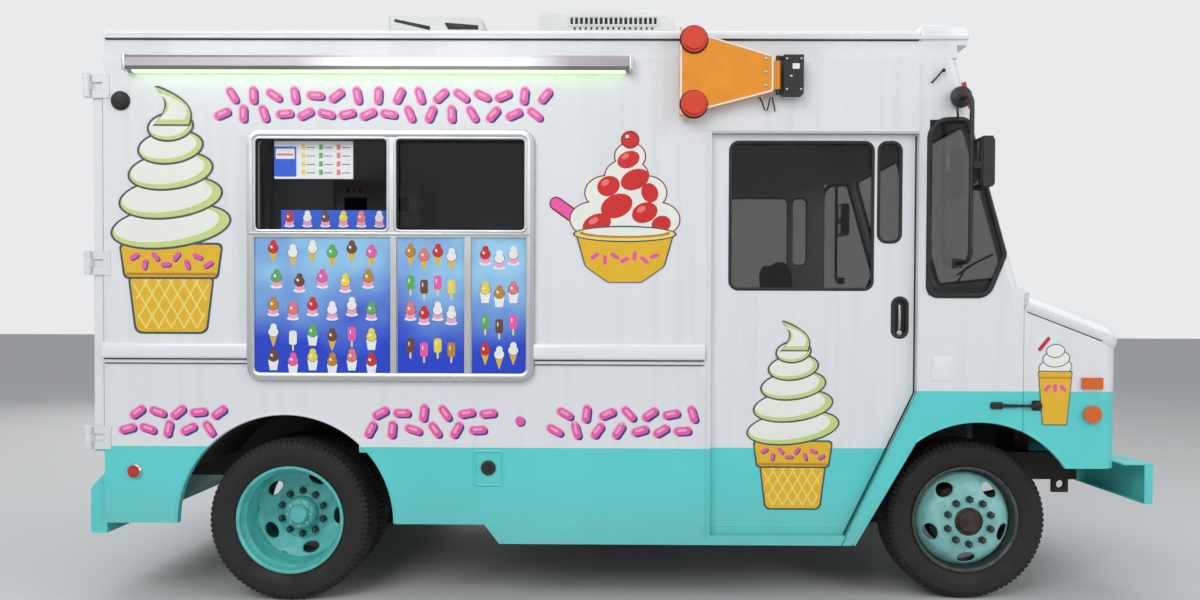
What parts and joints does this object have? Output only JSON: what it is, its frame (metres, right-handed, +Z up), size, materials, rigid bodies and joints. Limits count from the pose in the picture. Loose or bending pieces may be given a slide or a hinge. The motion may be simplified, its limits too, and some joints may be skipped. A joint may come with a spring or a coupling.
{
  "type": "ice cream truck",
  "caption": "Step van with a side serving window, sliding cab doors, tilting nose, swing sign and twin rear wheels, for selling soft ice cream.",
  "frame": {"origin": "on the road, under the middle of the truck", "axes": "+X forward, +Y to the truck's left, +Z up"},
  "size_m": [5.204, 2.726, 3.1559],
  "materials": {
    "glass": "clear",
    "chassis_black": "dusty satin",
    "cast_iron": "rough",
    "exhaust_steel": "heat dulled",
    "body_paint": "gloss white above, turquoise below",
    "hinge_paint": "gloss",
    "frame_aluminium": "satin",
    "menu_blue": "gloss",
    "white_plastic": "satin",
    "grille_chrome": "polished",
    "lamp_glass": "clear",
    "bumper_paint": "gloss",
    "black_rubber": "matt",
    "black_metal": "satin",
    "sign_amber": "gloss",
    "red_lens": "gloss",
    "interior_grey": "matt",
    "seat_vinyl": "grained",
    "stainless": "brushed",
    "tyre": "worn",
    "rim_paint": "gloss"
  },
  "bodies": {
    "chassis": {"body_glass": "glass", "cab_floor": "chassis_black", "cab_front": "body_paint", "dashboard": "interior_grey", "door_stops": "black_rubber", "drive_line": "cast_iron", "driver_seat": "seat_vinyl", "engine": "cast_iron", "engine_cover": "interior_grey", "exhaust": "exhaust_steel", "floor": "chassis_black", "frame": "chassis_black", "front_axle": "chassis_black", "front_bumper": "bumper_paint", "fuel_tank": "chassis_black", "galley_cabinets": "stainless", "leaf_springs": "chassis_black", "left_wall": "body_paint", "light_box": "frame_aluminium", "marker_lamps": "red_lens", "menu_boards": "menu_blue", "mirrors": "black_metal", "radiator": "chassis_black", "rear_axle": "chassis_black", "rear_bumper": "bumper_paint", "rear_floor": "chassis_black", "rear_frame": "body_paint", "rear_hinges": "hinge_paint", "right_wall": "body_paint", "roof": "body_paint", "roof_units": "white_plastic", "seat_base": "black_metal", "serving_frame": "frame_aluminium", "sign_bracket": "black_metal", "soft_serve_machine": "stainless", "wheel_boxes": "chassis_black"},
    "hood": {"hood": "body_paint", "grille": "grille_chrome", "headlamps": "lamp_glass", "hood_lamps": "red_lens"},
    "right_door": {"right_door": "body_paint", "right_door_glass": "glass"},
    "left_door": {"left_door": "body_paint", "left_door_glass": "glass"},
    "rear_door_right": {"rear_door_right": "body_paint", "rear_door_glass_right": "glass"},
    "rear_door_left": {"rear_door_left": "body_paint", "rear_door_glass_left": "glass"},
    "sign_arm": {"sign_arm": "sign_amber", "sign_lamps": "red_lens"},
    "steering_wheel": {"steering_wheel": "black_rubber"},
    "knuckle_right": {"steering_knuckle_right": "cast_iron"},
    "knuckle_left": {"steering_knuckle_left": "cast_iron"},
    "tie_rod": {"tie_rod": "cast_iron"},
    "front_wheel_right": {"front_tyre_right": "tyre", "front_rim_right": "rim_paint"},
    "front_wheel_left": {"front_tyre_left": "tyre", "front_rim_left": "rim_paint"},
    "rear_wheels_right": {"rear_tyres_right": "tyre", "rear_rims_right": "rim_paint"},
    "rear_wheels_left": {"rear_tyres_left": "tyre", "rear_rims_left": "rim_paint"}
  },
  "joints": [
    {"name": "hood_tilt", "type": "hinge", "parent": "chassis", "child": "hood", "pos_m": [2.47, 0, 0.735], "axis": [0, 1, 0], "range_deg": [0, 60]},
    {"name": "right_door_slide", "type": "slide", "parent": "chassis", "child": "right_door", "axis": [-1, 0, 0], "range_m": [0, 0.76]},
    {"name": "left_door_slide", "type": "slide", "parent": "chassis", "child": "left_door", "axis": [-1, 0, 0], "range_m": [0, 0.76]},
    {"name": "rear_door_right_hinge", "type": "hinge", "parent": "chassis", "child": "rear_door_right", "pos_m": [-2.588, -1.14, 1.668], "axis": [0, 0, 1], "range_deg": [0, 270]},
    {"name": "rear_door_left_hinge", "type": "hinge", "parent": "chassis", "child": "rear_door_left", "pos_m": [-2.588, 1.14, 1.668], "axis": [0, 0, -1], "range_deg": [0, 270]},
    {"name": "sign_swing", "type": "hinge", "parent": "chassis", "child": "sign_arm", "pos_m": [0.75, -1.167, 2.58], "axis": [0, 0, 1], "range_deg": [0, 90]},
    {"name": "steer_left", "type": "hinge", "parent": "chassis", "child": "knuckle_left", "pos_m": [1.744, 0.72, 0.4], "axis": [0, 0, 1], "range_deg": [-30, 30]},
    {"name": "steer_right", "type": "hinge", "parent": "chassis", "child": "knuckle_right", "pos_m": [1.744, -0.72, 0.4], "axis": [0, 0, 1], "range_deg": [-30, 30]},
    {"name": "tie_rod_turn", "type": "hinge", "parent": "knuckle_left", "child": "tie_rod", "pos_m": [1.554, 0.72, 0.3167], "axis": [0, 0, 1], "range_deg": [-30, 30]},
    {"name": "steering_wheel_turn", "type": "hinge", "parent": "chassis", "child": "steering_wheel", "pos_m": [1.48, -0.57, 1.42], "axis": [-0.6428, 0, 0.766], "range_deg": [-480, 480]},
    {"name": "front_wheel_left_spin", "type": "hinge", "parent": "knuckle_left", "child": "front_wheel_left", "pos_m": [1.744, 0.865, 0.4], "axis": [0, 1, 0], "continuous": true},
    {"name": "front_wheel_right_spin", "type": "hinge", "parent": "knuckle_right", "child": "front_wheel_right", "pos_m": [1.744, -0.865, 0.4], "axis": [0, 1, 0], "continuous": true},
    {"name": "rear_wheels_left_spin", "type": "hinge", "parent": "chassis", "child": "rear_wheels_left", "pos_m": [-1.634, 0.83, 0.4], "axis": [0, 1, 0], "continuous": true},
    {"name": "rear_wheels_right_spin", "type": "hinge", "parent": "chassis", "child": "rear_wheels_right", "pos_m": [-1.634, -0.83, 0.4], "axis": [0, 1, 0], "continuous": true}
  ],
  "couplings": [
    {"joint": "steer_right", "follows": "steer_left", "ratio": 1},
    {"joint": "tie_rod_turn", "follows": "steer_left", "ratio": -1},
    {"joint": "steering_wheel_turn", "follows": "steer_left", "ratio": 16}
  ]
}
